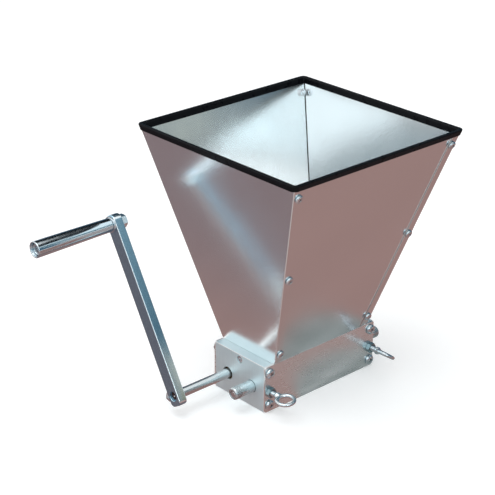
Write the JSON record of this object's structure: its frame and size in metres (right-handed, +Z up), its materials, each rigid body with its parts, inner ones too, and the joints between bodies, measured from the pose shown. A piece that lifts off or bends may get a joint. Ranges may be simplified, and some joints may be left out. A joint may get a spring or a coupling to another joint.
{
  "type": "hand cranked malt mill",
  "caption": "Hand cranked malt mill: knurled rollers between end blocks under a tapered sheet metal hopper, with a crank, eccentric gap adjusters and eye bolts that lock them.",
  "frame": {"origin": "centre of the grain outlet under the rollers, level with the underside of the end blocks", "axes": "+X along the rollers, away from the crank; -Y out of the plate that carries the eye bolts; +Z up to the hopper's mouth"},
  "size_m": [0.3682, 0.2386, 0.285],
  "materials": {
    "hopper_steel": "cold rolled stainless sheet, semi polished",
    "plate_steel": "ground stainless plate",
    "block_aluminium": "satin, fine milled",
    "roller_steel": "knurled steel, slightly dark in the grooves",
    "crank_steel": "drawn flat bar with bevelled edges",
    "grip_steel": "turned and polished",
    "zinc": "bright zinc plated",
    "adjuster_steel": "turned, fine knurl on the head",
    "bronze": "oiled sintered bronze",
    "washer_plastic": "natural acetal",
    "rubber": "smooth, slightly shiny"
  },
  "bodies": {
    "mill_body": {"left_end_block": "block_aluminium", "right_end_block": "block_aluminium", "front_plate": "plate_steel", "back_plate": "plate_steel", "plate_screws": "zinc", "drive_bush_left": "bronze", "drive_bush_right": "bronze", "hopper_left_panel": "hopper_steel", "hopper_right_panel": "hopper_steel", "hopper_front_panel": "hopper_steel", "hopper_back_panel": "hopper_steel", "hopper_screws": "zinc", "hopper_nuts": "zinc", "hopper_fixing_screws": "zinc", "hopper_fixing_nuts": "zinc", "rim_trim": "rubber"},
    "crank": {"drive_roller": "roller_steel", "drive_washers": "washer_plastic", "crank_arm": "crank_steel", "clamp_screw": "zinc", "handle_bolt": "zinc", "handle_nut": "zinc", "handle_washer": "zinc"},
    "handle": {"handle_grip": "grip_steel"},
    "adjuster_a": {"adjuster_left": "adjuster_steel"},
    "adjuster_b": {"adjuster_right": "adjuster_steel"},
    "idle": {"idle_roller": "roller_steel", "idle_washers": "washer_plastic"},
    "eye_bolt_a": {"eye_bolt_left": "zinc"},
    "eye_bolt_b": {"eye_bolt_right": "zinc"},
    "lock_nut_a": {"lock_nut_left": "zinc"},
    "lock_nut_b": {"lock_nut_right": "zinc"}
  },
  "joints": [
    {"name": "crank_turn", "type": "hinge", "parent": "mill_body", "child": "crank", "pos_m": [-0.153, 0.0184, 0.0235], "axis": [1, 0, 0], "continuous": true},
    {"name": "handle_spin", "type": "hinge", "parent": "crank", "child": "handle", "pos_m": [-0.2, 0.11303, 0.18479], "axis": [1, 0, 0], "continuous": true},
    {"name": "adjuster_left_turn", "type": "hinge", "parent": "mill_body", "child": "adjuster_a", "pos_m": [-0.093, -0.0184, 0.0235], "axis": [1, 0, 0], "continuous": true},
    {"name": "adjuster_right_turn", "type": "hinge", "parent": "mill_body", "child": "adjuster_b", "pos_m": [0.093, -0.0184, 0.0235], "axis": [1, 0, 0], "continuous": true},
    {"name": "idle_roller_spin", "type": "hinge", "parent": "adjuster_a", "child": "idle", "pos_m": [0, -0.0184, 0.0225], "axis": [1, 0, 0], "continuous": true},
    {"name": "eye_bolt_left_turn", "type": "hinge", "parent": "mill_body", "child": "eye_bolt_a", "pos_m": [-0.074, -0.05, 0.0235], "axis": [0, -1, 0], "range_deg": [0, 180]},
    {"name": "eye_bolt_right_turn", "type": "hinge", "parent": "mill_body", "child": "eye_bolt_b", "pos_m": [0.074, -0.05, 0.0235], "axis": [0, -1, 0], "range_deg": [0, 180]},
    {"name": "lock_nut_left_turn", "type": "hinge", "parent": "mill_body", "child": "lock_nut_a", "pos_m": [-0.074, -0.042, 0.0235], "axis": [0, -1, 0], "range_deg": [0, 180]},
    {"name": "lock_nut_right_turn", "type": "hinge", "parent": "mill_body", "child": "lock_nut_b", "pos_m": [0.074, -0.042, 0.0235], "axis": [0, -1, 0], "range_deg": [0, 180]}
  ],
  "couplings": [
    {"joint": "adjuster_right_turn", "follows": "adjuster_left_turn", "ratio": 1}
  ]
}
